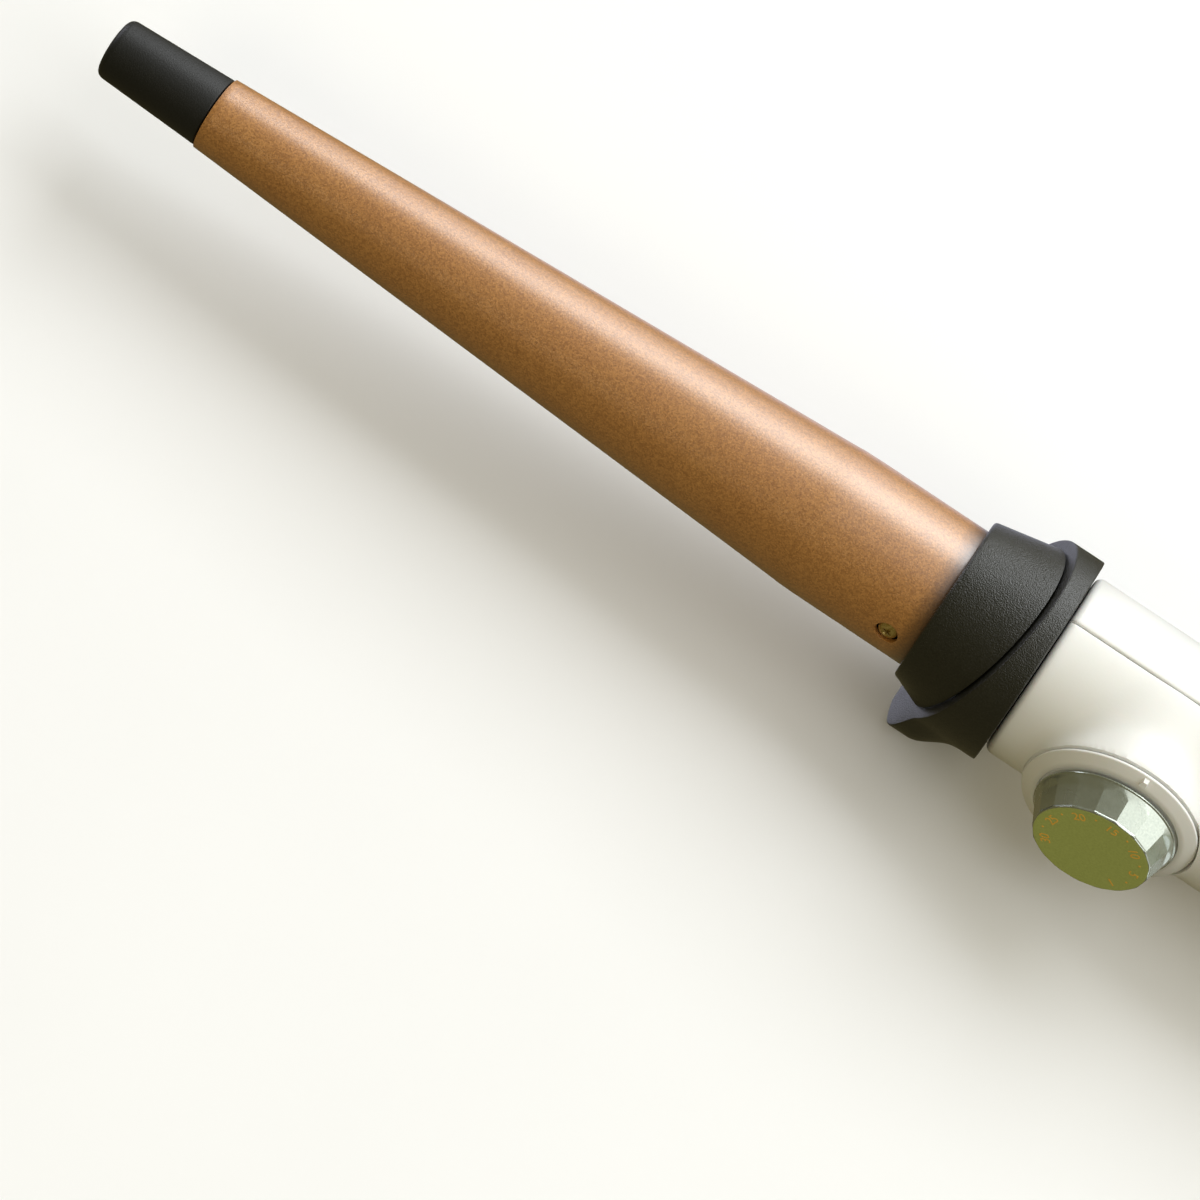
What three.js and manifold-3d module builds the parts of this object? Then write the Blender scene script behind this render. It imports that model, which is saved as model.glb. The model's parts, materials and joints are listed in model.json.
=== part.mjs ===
// Curling wand with a tapered barrel, a slanted guard with a foot, and a handle with a dial.
// Millimetres. Inside `wand` X runs along the barrel's axis towards the handle, from the
// barrel's visible base at x = 0, and Z points away from the foot. The whole wand is then
// moved so that the origin is the middle of the foot's flat underside.
import * as THREE from 'three';
import { mergeVertices } from 'three/addons/utils/BufferGeometryUtils.js';
import Module from 'manifold-3d';

const wasm = await Module();
wasm.setup();

// ---- driving dimensions ----
const GAP = 0.3;                       // between pieces that touch
const BARREL = { tipX: -139.5, taperEndX: -22.5, endX: 4, tipR: 6.43, taperR: 12.6, baseR: 12.72 };
const BARREL_WALL = 1.0;
const TIP = { frontX: -159.3, frontR: 5.35, seamR: 6.12, spigotR: 5.1, spigotX: -133 };
const SOCKET = { frontX: -16, r: 11.2, boreR: 7.5, flangeX: 22.9, flangeR: 13.9 };
const COLLAR = { frontX: 1.1, frontR: 14.6, rearR: 16.8, boreR: 13.05 };
const GUARD = { creaseX: 10, slant: 0.32, rearX: 19.3, r: 18.8, boreR: 11.5 };
const FOOT = { depth: 21.5, cornerR: 23.2, fullUntil: 38, goneAt: 70, flareStartX: 8.5, flareEndX: 17 };
const HANDLE = { frontX: 19.6, rearX: 166, r: 16.5, wall: 2.2 };
const HEEL = { depth: 21.0, startX: 92, endX: 130, padX: 146, padLength: 24, padWidth: 10, padTop: -19.9 };
const REAR_CAP = { endX: 172.5, endR: 9.5, holeR: 6.1 };
const CONTROLS_TURN = THREE.MathUtils.degToRad(86);   // control line: 4 degrees above the side
const SCREW_TURN = THREE.MathUtils.degToRad(80);      // barrel screws: 10 degrees above the side
const DIAL = { x: 40.4, baseZ: 18.6, faceZ: 24.5, baseR: 12.1, faceR: 10, facets: 17 };
const DIAL_LEAN = THREE.MathUtils.degToRad(4);        // the dial's axis leans towards the rear
const POINTER_TURN = THREE.MathUtils.degToRad(-6);    // the pointer is a little off the top
const TURRET = { footR: 15.4, topR: 15.1, topZ: 16.3, cavityR: 12.4, floorZ: 5 };
const BUTTON = { x: 74, r: 4.4, topZ: 17.3, flangeR: 5.4, flangeZ: 12.0 };
const LENS_X = 88;
const BOARD = { frontX: 34, rearX: 100, halfWidth: 9.8, bottomZ: 6.0, topZ: 7.6 };
const HEATER = { frontX: -86, rearX: -36, halfWidth: 4.5, halfThickness: 1.1 };
const SCREW_X = -3.5;                  // barrel screws
const HANDLE_SCREW_X = [30, 108, 126];
const ROUND = 40;                      // facets round the large round pieces
const SMALL = 16;                      // facets round the small ones

// ---- materials ----
const finish = (color, roughness, metalness) =>
  new THREE.MeshStandardMaterial({ color, roughness, metalness });
const BLACK_PLASTIC = finish(0x2b2c2d, 0.55, 0);
const COPPER_COAT = finish(0xc08552, 0.42, 0.8);
const WHITE_PLASTIC = finish(0xf1f1ee, 0.4, 0);
const OLIVE_PLASTIC = finish(0x72773a, 0.3, 0.1);
const BRASS = finish(0xb99a4a, 0.35, 1);
const STEEL = finish(0xb8bbbd, 0.35, 1);
const ALUMINIUM = finish(0xc9ccce, 0.4, 1);
const CERAMIC = finish(0xe6dfd0, 0.6, 0);
const FILM = finish(0xa8651c, 0.35, 0);
const BOARD_GREEN = finish(0x1e5a33, 0.5, 0);
const DARK_RUBBER = finish(0x3a3a3a, 0.8, 0);
const LAMP = finish(0xd8493a, 0.2, 0);
const RED_WIRE = finish(0x9c2f26, 0.5, 0);
const WHITE_WIRE = finish(0xdedad0, 0.5, 0);

// ---- shape helpers ----
function toSolid(geometry) {
  const bare = geometry.index ? geometry.toNonIndexed() : geometry.clone();
  bare.deleteAttribute('normal');
  bare.deleteAttribute('uv');
  const merged = mergeVertices(bare, 1e-4);
  const mesh = new wasm.Mesh({
    numProp: 3,
    vertProperties: new Float32Array(merged.attributes.position.array),
    triVerts: new Uint32Array(merged.index.array),
  });
  return new wasm.Manifold(mesh);
}

function toGeometry(solid) {
  const mesh = solid.getMesh();
  const geometry = new THREE.BufferGeometry();
  geometry.setAttribute('position', new THREE.BufferAttribute(mesh.vertProperties, 3));
  geometry.setIndex(new THREE.BufferAttribute(mesh.triVerts, 1));
  return geometry;
}

function cut(body, ...tools) {
  return toGeometry(tools.reduce((solid, tool) => solid.subtract(toSolid(tool)), toSolid(body)));
}

function join(body, ...others) {
  return toGeometry(others.reduce((solid, other) => solid.add(toSolid(other)), toSolid(body)));
}

function common(body, tool) {
  return toGeometry(toSolid(body).intersect(toSolid(tool)));
}

// A turned piece about X; points are [radius, x], from one end of the axis to the other.
function turnedX(points, segments = ROUND) {
  const profile = points.map(([radius, x]) => new THREE.Vector2(radius, x));
  return new THREE.LatheGeometry(profile, segments).rotateZ(-Math.PI / 2);
}

// A turned piece about Z; points are [radius, z].
function turnedZ(points, segments = SMALL) {
  const profile = points.map(([radius, z]) => new THREE.Vector2(radius, z));
  return new THREE.LatheGeometry(profile, segments).rotateX(Math.PI / 2);
}

function rodX(radius, startX, endX, segments = ROUND) {
  return turnedX([[0, startX], [radius, startX], [radius, endX], [0, endX]], segments);
}

function rodZ(radius, lowZ, highZ, segments = SMALL) {
  return turnedZ([[0, lowZ], [radius, lowZ], [radius, highZ], [0, highZ]], segments);
}

function tubeX(radius, bore, startX, endX, segments = ROUND) {
  return turnedX([[bore, startX], [radius, startX], [radius, endX], [bore, endX], [bore, startX]], segments);
}

function block([x0, y0, z0], [x1, y1, z1]) {
  const box = new THREE.BoxGeometry(x1 - x0, y1 - y0, z1 - z0);
  return box.translate((x0 + x1) / 2, (y0 + y1) / 2, (z0 + z1) / 2);
}

function wire(radius, points) {
  const path = new THREE.CatmullRomCurve3(points.map((point) => new THREE.Vector3(...point)));
  const section = new THREE.Shape();
  section.absarc(0, 0, radius, 0, 2 * Math.PI);
  const options = { steps: points.length * 3, curveSegments: 4, bevelEnabled: false, extrudePath: path };
  return new THREE.ExtrudeGeometry(section, options);
}

// Moves a shape drawn in the control line's own frame (Z outwards) into the wand's frame.
const turned = (geometry) => geometry.rotateX(CONTROLS_TURN);

function smoothStep(from, to, value) {
  return THREE.MathUtils.smoothstep(value, from, to);
}

function piece(name, geometry, material) {
  const mesh = new THREE.Mesh(geometry, material);
  mesh.name = name;
  return mesh;
}

// ---- barrel end ----
function barrelRadius(x) {
  if (x >= BARREL.taperEndX) return BARREL.baseR;
  const along = (x - BARREL.tipX) / (BARREL.taperEndX - BARREL.tipX);
  return BARREL.tipR + along * (BARREL.taperR - BARREL.tipR);
}

function coolTip() {
  const seamX = BARREL.tipX - GAP;
  const round = 1.4;
  const outline = [[0, TIP.frontX]];
  for (const turn of [0, 30, 60, 90]) {
    const angle = THREE.MathUtils.degToRad(turn);
    outline.push([TIP.frontR - round + round * Math.sin(angle), TIP.frontX + round * (1 - Math.cos(angle))]);
  }
  const rest = [[TIP.seamR, seamX], [TIP.spigotR, seamX], [TIP.spigotR, TIP.spigotX],
    [3, TIP.spigotX], [3, -152], [0, -152]];
  return turnedX([...outline, ...rest], 32);
}

function tipInsulator() {
  const flangeX = TIP.spigotX + GAP;
  return turnedX([[0, -151], [2.7, -151], [2.7, flangeX], [5.1, flangeX], [5.1, -127], [0, -127]], 24);
}

function barrel() {
  const { tipX, taperEndX, endX, tipR, taperR, baseR } = BARREL;
  const wall = BARREL_WALL;
  const shell = turnedX([[tipR - wall, tipX], [tipR, tipX], [taperR, taperEndX], [baseR, taperEndX + 4],
    [baseR, endX], [baseR - wall, endX], [baseR - wall, taperEndX + 4], [taperR - wall, taperEndX],
    [tipR - wall, tipX]]);
  return cut(shell, ...[1, -1].map((side) => screwSpace(side)));
}

// One barrel screw lies near the control line and the other straight opposite it.
function onScrewLine(geometry, side) {
  return geometry.translate(SCREW_X, 0, 0).rotateX(SCREW_TURN + (side > 0 ? 0 : Math.PI));
}

const screwSpace = (side) => onScrewLine(rodZ(2.05, 10, 14, 20), side);

function barrelScrew(side) {
  const outline = [[0, 8.2], [0.9, 8.2], [0.9, 11.6], [1.7, 11.6], [1.7, 12.1], [1.1, 12.5], [0, 12.5]];
  const slot = (length, width) => block([-length, -width, 12.1], [length, width, 13]);
  return onScrewLine(cut(turnedZ(outline), join(slot(0.85, 0.2), slot(0.2, 0.85))), side);
}

function barrelSocket() {
  const { frontX, r, boreR, flangeX, flangeR } = SOCKET;
  const flangeEndX = flangeX + 2.5;
  const body = turnedX([[boreR, frontX], [r, frontX], [r, flangeX], [flangeR, flangeX],
    [flangeR, flangeEndX], [boreR, flangeEndX], [boreR, frontX]], 36);
  return cut(body, ...[1, -1].map((side) => onScrewLine(rodZ(1.2, 6, 12, 12), side)));
}

// ---- heater inside the barrel ----
function heaterStack() {
  const { frontX, rearX, halfWidth, halfThickness } = HEATER;
  const plateLow = halfThickness + GAP;
  const plateHigh = plateLow + 0.4;
  const sleeveInner = plateHigh + GAP;
  const plate = (low, high) => block([frontX, -halfWidth, low], [rearX + 6, halfWidth, high]);
  const slab = (overhang, width, height) =>
    block([frontX - overhang, -width, -height], [rearX + overhang, width, height]);
  const sleeve = cut(slab(2, halfWidth + 1, sleeveInner + 0.5), slab(3, halfWidth + GAP, sleeveInner));
  return [
    piece('ptc_heater', slab(0, halfWidth, halfThickness), CERAMIC),
    piece('heater_electrode_upper', plate(plateLow, plateHigh), BRASS),
    piece('heater_electrode_lower', plate(-plateHigh, -plateLow), BRASS),
    piece('heater_film_sleeve', sleeve, FILM),
  ];
}

function heatSpreader(side) {
  const { frontX, rearX } = HEATER;
  const reach = BARREL_WALL + GAP + 0.1;
  const cone = (inset) => turnedX([[0, frontX], [barrelRadius(frontX) - reach - inset, frontX],
    [barrelRadius(rearX) - reach - inset, rearX], [0, rearX]], 36);
  const flatZ = 2.9;
  const plateZ = flatZ + 1.3;
  const half = (from) => block([frontX - 1, -15, from], [rearX + 1, 15, 15]);
  const body = cut(common(cone(0), half(flatZ)), common(cone(1.2), half(plateZ)));
  const notch = block([rearX - 8, -0.9, plateZ - 0.5], [rearX + 1, 0.9, 14]);
  const whole = cut(body, notch);
  return side > 0 ? whole : whole.rotateX(Math.PI);
}

const thermistor = () => rodX(1.1, HEATER.rearX - 12, HEATER.rearX + 1, 10).translate(0, 0, 5.7);
const thermalFuse = () => rodX(1.9, -14, -3, 12).translate(0, 0, -4.2);

function heaterLeads() {
  const { rearX } = HEATER;
  const boardX = BOARD.frontX - 3.5;
  const live = wire(0.7, [[rearX + 6.5, 0, -1.6], [-26, 0, -3.4], [-14.5, 0, -4.2]]);
  const onwards = wire(0.7, [[-2.5, 0, -4.2], [8, 0, -5.2], [20, 0, -6], [boardX, 0, -6.2]]);
  const neutral = wire(0.7, [[rearX + 6.5, 0, 1.6], [-20, 2, 2.6], [0, 4.4, 3.6], [20, 4.4, 4.4],
    [boardX, 4, 5.4]]);
  const sensor = wire(0.6, [[rearX + 1.5, 0, 5.7], [-20, -2, 5.4], [0, -3.6, 4.6], [20, -3.6, 4.6],
    [boardX, -3.2, 5.6]]);
  return [
    piece('lead_live_hot', live, RED_WIRE),
    piece('lead_live', onwards, RED_WIRE),
    piece('lead_neutral', neutral, WHITE_WIRE),
    piece('lead_sensor', sensor, WHITE_WIRE),
  ];
}

// ---- collar and guard ----
const creaseX = (z) => GUARD.creaseX + GUARD.slant * z;

function collar() {
  const { frontX, frontR, rearR, boreR } = COLLAR;
  const ring = turnedX([[boreR, 0], [frontR, 0], [rearR, 1], [boreR, 1], [boreR, 0]]);
  const position = ring.attributes.position;
  for (let i = 0; i < position.count; i += 1) {
    const rear = creaseX(position.getZ(i)) - GAP;
    position.setX(i, frontX + position.getX(i) * (rear - frontX));
  }
  return ring;
}

// Distance from the axis to the guard's edge; `turn` is the angle away from straight down.
function guardRadius(turn, lobe) {
  const degrees = Math.abs(THREE.MathUtils.radToDeg(turn));
  const flat = FOOT.depth / Math.max(Math.cos(turn), 0.2);
  const full = Math.min(flat, FOOT.cornerR);
  const fade = 1 - smoothStep(FOOT.fullUntil, FOOT.goneAt, degrees);
  return GUARD.r + (full - GUARD.r) * fade * lobe;
}

function guard() {
  const stations = [0, 4, FOOT.flareStartX, 10.5, 12.75, 15, FOOT.flareEndX, GUARD.rearX];
  const solid = turnedX([[0, 0], ...stations.map((x) => [1, x]), [0, GUARD.rearX]], 60);
  const position = solid.attributes.position;
  for (let i = 0; i < position.count; i += 1) {
    const [x, y, z] = [position.getX(i), position.getY(i), position.getZ(i)];
    if (Math.hypot(y, z) > 0.5) {
      const turn = Math.atan2(y, -z);
      const lobe = 1 - smoothStep(FOOT.flareStartX, FOOT.flareEndX, x);
      const radius = guardRadius(turn, lobe);
      position.setY(i, radius * Math.sin(turn));
      position.setZ(i, -radius * Math.cos(turn));
    }
  }
  const front = block([-60, -40, -40], [0, 40, 40]).rotateY(Math.atan(GUARD.slant));
  return cut(solid, front.translate(GUARD.creaseX, 0, 0), rodX(GUARD.boreR, -5, 30));
}

// ---- handle ----
// The handle is round; towards the rear its underside deepens into a heel.
function deepen(geometry, rimDepth) {
  const position = geometry.attributes.position;
  for (let i = 0; i < position.count; i += 1) {
    const z = position.getZ(i);
    if (z < 0) {
      const heel = smoothStep(HEEL.startX, HEEL.endX, position.getX(i));
      position.setZ(i, z * (1 + heel * (rimDepth / HANDLE.r - 1)));
    }
  }
  return geometry;
}

function handleSolid(radius, startX, endX, rimDepth) {
  const stations = [startX, startX + 1, HEEL.startX, 99, 105, 111, 117, 123, HEEL.endX, endX];
  const rims = stations.map((x, i) => [i === 0 ? radius - 0.6 : radius, x]);
  return deepen(turnedX([[0, startX], ...rims, [0, endX]]), rimDepth);
}

function padOutline(grow) {
  const { padX, padLength, padWidth } = HEEL;
  const radius = padWidth / 2 + grow;
  const reach = padLength / 2 - padWidth / 2;
  const outline = new THREE.Shape();
  outline.absarc(padX + reach, 0, radius, -Math.PI / 2, Math.PI / 2);
  outline.absarc(padX - reach, 0, radius, Math.PI / 2, 1.5 * Math.PI);
  return outline;
}

function padSolid(grow, lowZ, highZ) {
  const options = { depth: highZ - lowZ, curveSegments: 8, bevelEnabled: false };
  return new THREE.ExtrudeGeometry(padOutline(grow), options).translate(0, 0, lowZ);
}

const onControlLine = (x, geometry) => turned(geometry.translate(x, 0, 0));
const onDialAxis = (geometry) => onControlLine(DIAL.x, geometry.rotateY(DIAL_LEAN));

function turret() {
  const { footR, topR, topZ, floorZ } = TURRET;
  return onDialAxis(turnedZ([[0, floorZ], [footR, floorZ], [topR, topZ], [0, topZ]], 32));
}

function handleCutters() {
  const shaftHole = onDialAxis(rodZ(2.6, 0, 30));
  const bezelSeat = onDialAxis(rodZ(TURRET.topR + GAP, TURRET.topZ, 40, 32));
  const turretCavity = onDialAxis(rodZ(TURRET.cavityR, TURRET.floorZ - 3, TURRET.topZ - 1.8, 32));
  const buttonHole = onControlLine(BUTTON.x, rodZ(BUTTON.r + GAP, 5, 30, 24));
  const lensHole = onControlLine(LENS_X, rodZ(1.9, 5, 30));
  return [shaftHole, bezelSeat, turretCavity, buttonHole, lensHole];
}

function screwPost(x, radius, nearY, farY) {
  return rodZ(radius, nearY, farY, SMALL).rotateX(-Math.PI / 2).translate(x, 0, 0);
}

function handleShell(side) {
  const { frontX, rearX, r, wall } = HANDLE;
  const outer = handleSolid(r, frontX, rearX, HEEL.depth);
  const inner = handleSolid(r - wall, frontX + wall + 0.6, rearX + 5, HEEL.depth * 0.985);
  const socketHole = rodX(SOCKET.r + GAP, frontX - 5, frontX + 10, 36);
  const padSpace = padSolid(GAP, -30, HEEL.padTop + GAP);
  const half = block([0, side > 0 ? 0.15 : -40, -40], [200, side > 0 ? 40 : -0.15, 40]);
  const whole = side > 0 ? outer : join(outer, turret());
  const hollow = cut(whole, inner, socketHole, padSpace, ...(side > 0 ? [] : handleCutters()));
  const posts = HANDLE_SCREW_X.map((x) => common(screwPost(x, side > 0 ? 3.6 : 2.8, -20, 20), outer));
  const bores = HANDLE_SCREW_X.map((x) => screwPost(x, side > 0 ? 1.5 : 1.4, side > 0 ? -20 : -9, 20));
  const counterbores = side > 0 ? HANDLE_SCREW_X.map((x) => screwPost(x, 2.9, 8, 30)) : [];
  return common(cut(join(hollow, ...posts), ...bores, ...counterbores), half);
}

function handleScrew(x) {
  const outline = [[0, -8.4], [1.1, -8.4], [1.1, 8.3], [2.5, 8.3], [2.5, 9.4], [1.7, 10.1], [0, 10.1]];
  const slot = (length, width) => block([-length, -width, 9.3], [length, width, 12]);
  const cross = join(slot(1.4, 0.3), slot(0.3, 1.4));
  return cut(turnedZ(outline, 14), cross).rotateX(-Math.PI / 2).translate(x, 0, 0);
}

function rearCap() {
  const startX = HANDLE.rearX + GAP;
  const { endX, endR, holeR } = REAR_CAP;
  const dome = [[HANDLE.r, startX], [HANDLE.r - 0.6, startX + 2], [HANDLE.r - 2.6, startX + 4.4]];
  const body = turnedX([[holeR, startX], ...dome, [endR, endX], [holeR, endX], [holeR, startX]]);
  return deepen(body, HEEL.depth);
}

// ---- cord outlet: the cord itself isn't part of this model ----
function swivelGland() {
  const bore = 3.5;
  return turnedX([[bore, 158], [8, 158], [8, 160.5], [5.6, 160.5], [5.6, 176], [5.0, 186], [bore, 186],
    [bore, 158]], 24);
}

const swivelRetainer = () => tubeX(13.6, 6.2, 161.1, 163.6, 32);
const swivelContactRing = () => tubeX(8, 5.2, 154, 157.5, 24);

// ---- dial ----
function dialKnob() {
  const { baseZ, faceZ, baseR, faceR, facets } = DIAL;
  const rimTopZ = baseZ + 0.8;
  const height = faceZ - rimTopZ;
  const sides = new THREE.CylinderGeometry(faceR, baseR - 0.15, height, facets).rotateX(Math.PI / 2);
  sides.translate(0, 0, rimTopZ + height / 2);
  const rim = rodZ(baseR, baseZ, rimTopZ + 0.2, 42);
  const recess = rodZ(9.2, baseZ - 1, baseZ + 2.6, 28);
  const hub = rodZ(3.6, baseZ - 0.2, baseZ + 3.2, 16);
  const shaftHole = rodZ(2.3, baseZ - 1, baseZ + 4.2, 16);
  return onDialAxis(cut(join(cut(join(sides, rim), recess), hub), shaftHole));
}

function dialBezel() {
  const lowZ = TURRET.topZ + GAP;
  const disc = turnedZ([[3.2, lowZ], [15, lowZ], [15, lowZ + 0.4], [13, DIAL.baseZ - 0.6],
    [3.2, DIAL.baseZ - 0.6], [3.2, lowZ]], 32);
  const pointer = block([-0.6, 13.2, lowZ + 0.2], [0.6, 14.8, DIAL.baseZ - 0.6]);
  pointer.rotateZ(POINTER_TURN);
  return onDialAxis(join(disc, pointer));
}

function potentiometer() {
  const halfWidth = 5.5;
  const lowZ = BOARD.topZ + GAP + halfWidth * Math.sin(DIAL_LEAN);
  const body = join(block([-halfWidth, -halfWidth, lowZ], [halfWidth, halfWidth, 12.2]), rodZ(3.4, 12, 14.2));
  return onDialAxis(cut(body, rodZ(2.35, 12.1, 20)));
}

const potentiometerShaft = () => onDialAxis(rodZ(2.0, 12.5, DIAL.baseZ + 3.9));

// ---- circuit board and what stands on it ----
function circuitBoard() {
  const { frontX, rearX, halfWidth, bottomZ, topZ } = BOARD;
  const board = block([frontX, -halfWidth, bottomZ], [rearX, halfWidth, topZ]);
  const corners = [frontX + 3, rearX - 3].map((x) => rodZ(1.4, 0, 10, 12).translate(x, 6, 0));
  return turned(cut(board, ...corners));
}

const onBoard = (x, length, width, height, offset = 0) => turned(block(
  [x, offset - width / 2, BOARD.topZ + GAP], [x + length, offset + width / 2, BOARD.topZ + GAP + height]));

function capacitor() {
  return turned(rodX(2.4, 50, 62, 12).translate(0, -5.5, BOARD.topZ + GAP + 2.4));
}

function underBoard(x, length, width, height) {
  const topZ = BOARD.bottomZ - GAP;
  return turned(block([x, -width / 2, topZ - height], [x + length, width / 2, topZ]));
}

// ---- power button and lamp ----
function powerButton() {
  const { r, topZ, flangeR, flangeZ } = BUTTON;
  return onControlLine(BUTTON.x, turnedZ([[0, flangeZ], [flangeR, flangeZ], [flangeR, flangeZ + 0.8],
    [r, flangeZ + 0.8], [r, topZ - 0.4], [r - 0.4, topZ], [0, topZ - 0.35]], 24));
}

function powerSwitch() {
  const lowZ = BOARD.topZ + GAP;
  return onControlLine(BUTTON.x, cut(block([-3, -3, lowZ], [3, 3, 10.2]), rodZ(1.9, 8.6, 12)));
}

const switchPlunger = () => onControlLine(BUTTON.x, rodZ(1.5, 9.9, BUTTON.flangeZ - GAP, 12));

function indicatorLed() {
  return onControlLine(LENS_X, turnedZ([[0, 7.9], [1.5, 7.9], [1.5, 11], [1, 11.7], [0, 11.9]], 12));
}

function indicatorLens() {
  return onControlLine(LENS_X, turnedZ([[0, 12.4], [1.6, 12.4], [1.6, 16.5], [1, 16.8], [0, 16.9]]));
}

// ---- assembly ----
function assemble() {
  const wand = new THREE.Group();
  wand.add(piece('cool_tip', coolTip(), BLACK_PLASTIC));
  wand.add(piece('tip_insulator', tipInsulator(), CERAMIC));
  wand.add(piece('barrel', barrel(), COPPER_COAT));
  wand.add(piece('barrel_screw_1', barrelScrew(1), BRASS));
  wand.add(piece('barrel_screw_2', barrelScrew(-1), BRASS));
  wand.add(piece('barrel_socket', barrelSocket(), BLACK_PLASTIC));
  wand.add(piece('heat_spreader_upper', heatSpreader(1), ALUMINIUM));
  wand.add(piece('heat_spreader_lower', heatSpreader(-1), ALUMINIUM));
  wand.add(...heaterStack());
  wand.add(piece('thermistor', thermistor(), CERAMIC));
  wand.add(piece('thermal_fuse', thermalFuse(), STEEL));
  wand.add(...heaterLeads());
  wand.add(piece('collar', collar(), BLACK_PLASTIC));
  wand.add(piece('guard', guard(), BLACK_PLASTIC));
  wand.add(piece('handle_dial_side', handleShell(-1), WHITE_PLASTIC));
  wand.add(piece('handle_plain_side', handleShell(1), WHITE_PLASTIC));
  wand.add(...HANDLE_SCREW_X.map((x, i) => piece(`handle_screw_${i + 1}`, handleScrew(x), STEEL)));
  wand.add(piece('heel_pad', padSolid(0, -FOOT.depth, HEEL.padTop), DARK_RUBBER));
  wand.add(piece('rear_cap', rearCap(), WHITE_PLASTIC));
  wand.add(piece('swivel_gland', swivelGland(), DARK_RUBBER));
  wand.add(piece('swivel_retainer', swivelRetainer(), WHITE_PLASTIC));
  wand.add(piece('swivel_contact_ring', swivelContactRing(), BRASS));
  wand.add(piece('dial_knob', dialKnob(), OLIVE_PLASTIC));
  wand.add(piece('dial_bezel', dialBezel(), WHITE_PLASTIC));
  wand.add(piece('potentiometer', potentiometer(), STEEL));
  wand.add(piece('potentiometer_shaft', potentiometerShaft(), STEEL));
  wand.add(piece('circuit_board', circuitBoard(), BOARD_GREEN));
  wand.add(piece('terminal_block', underBoard(36, 10, 12, 5), BLACK_PLASTIC));
  wand.add(piece('triac', onBoard(52, 10, 8, 3.4, 4.4), BLACK_PLASTIC));
  wand.add(piece('capacitor', capacitor(), BLACK_PLASTIC));
  wand.add(piece('power_button', powerButton(), OLIVE_PLASTIC));
  wand.add(piece('power_switch', powerSwitch(), BLACK_PLASTIC));
  wand.add(piece('switch_plunger', switchPlunger(), BLACK_PLASTIC));
  wand.add(piece('indicator_led', indicatorLed(), LAMP));
  wand.add(piece('indicator_lens', indicatorLens(), LAMP));
  const footMiddleX = (creaseX(-FOOT.depth) + FOOT.flareStartX) / 2;
  wand.position.set(-footMiddleX, 0, FOOT.depth);
  return wand;
}

const curlingWand = new THREE.Group();
curlingWand.add(assemble());

export default curlingWand;
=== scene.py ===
# %% [markdown]
# # A clampless curling wand
# The wand has a tapered heated barrel with a cool tip, a collar and a guard with a foot,
# and a round handle with a temperature dial. A fixed frame of CAD solids gives every size
# and place. This lesson makes the surfaces that people see, one piece at a time, and gives
# the solids that stay their own finishes. Millimetres are easier to think in than metres,
# so shapes are drawn in millimetres along the barrel's axis and moved at the end.

# %% Load the frame
import json
import math
import bmesh
import bpy
import numpy as np
from mathutils import Matrix, Vector


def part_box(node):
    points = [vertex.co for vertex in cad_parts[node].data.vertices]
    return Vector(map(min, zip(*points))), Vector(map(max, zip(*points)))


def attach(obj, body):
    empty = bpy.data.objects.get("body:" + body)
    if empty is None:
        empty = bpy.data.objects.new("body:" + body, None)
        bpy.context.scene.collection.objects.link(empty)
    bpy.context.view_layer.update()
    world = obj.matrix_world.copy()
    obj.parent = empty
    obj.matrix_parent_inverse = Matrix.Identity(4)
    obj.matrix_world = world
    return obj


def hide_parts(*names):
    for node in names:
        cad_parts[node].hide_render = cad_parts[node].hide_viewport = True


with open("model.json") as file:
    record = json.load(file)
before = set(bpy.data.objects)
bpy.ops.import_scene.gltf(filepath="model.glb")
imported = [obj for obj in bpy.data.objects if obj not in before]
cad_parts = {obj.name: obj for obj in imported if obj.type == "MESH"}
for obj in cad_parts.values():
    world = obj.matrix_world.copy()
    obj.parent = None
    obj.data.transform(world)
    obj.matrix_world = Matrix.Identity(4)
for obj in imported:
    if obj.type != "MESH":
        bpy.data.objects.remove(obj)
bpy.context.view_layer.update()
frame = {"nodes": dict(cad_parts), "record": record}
scene = bpy.context.scene


def shown(name, data):
    thing = bpy.data.objects.new(name, data)
    scene.collection.objects.link(thing)
    return thing


# %% [markdown]
# ## Where the wand lies
# Drawings count x from the barrel's visible base towards the handle, and y and z from the
# barrel's axis. The frame's solids say where that axis is. The dial, the button and the lamp
# share a control line 4 degrees above the wand's side, and the dial leans 4 degrees backwards.

# %% The wand's axis and the control line
barrel_low, barrel_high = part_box("barrel")
AXIS_Z = (barrel_low.z + barrel_high.z) / 2
BASE_X = barrel_high.x - 0.004
WAND = Matrix.Translation((BASE_X, 0, AXIS_Z)) @ Matrix.Scale(0.001, 4)
CONTROL = WAND @ Matrix.Rotation(math.radians(86), 4, "X")
DIAL_X = 40.4
DIAL = CONTROL @ Matrix.Translation((DIAL_X, 0, 0)) @ Matrix.Rotation(math.radians(4), 4, "Y")
ALONG = WAND @ Matrix.Rotation(math.pi / 2, 4, "Y")
print("axis height and barrel base, mm:", round(AXIS_Z * 1000, 2), round(BASE_X * 1000, 2))

# %% [markdown]
# ## The camera
# A long lens, 177 mm on a 36 mm sensor, stands almost a metre away and looks steeply down,
# so the wand runs across the view from the upper left.

# %% Camera
camera_data = bpy.data.cameras.new("camera")
camera_data.lens = 177
camera_data.sensor_width = 36
camera_data.clip_start = 0.05
camera = shown("camera", camera_data)
camera.location = (-0.00231, -0.471857, 0.838781)
camera.rotation_euler = (math.radians(25.3425), math.radians(-12.9638), math.radians(31.5083))
scene.camera = camera
print("camera distance:", round(camera.location.length, 3), "m")

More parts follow.
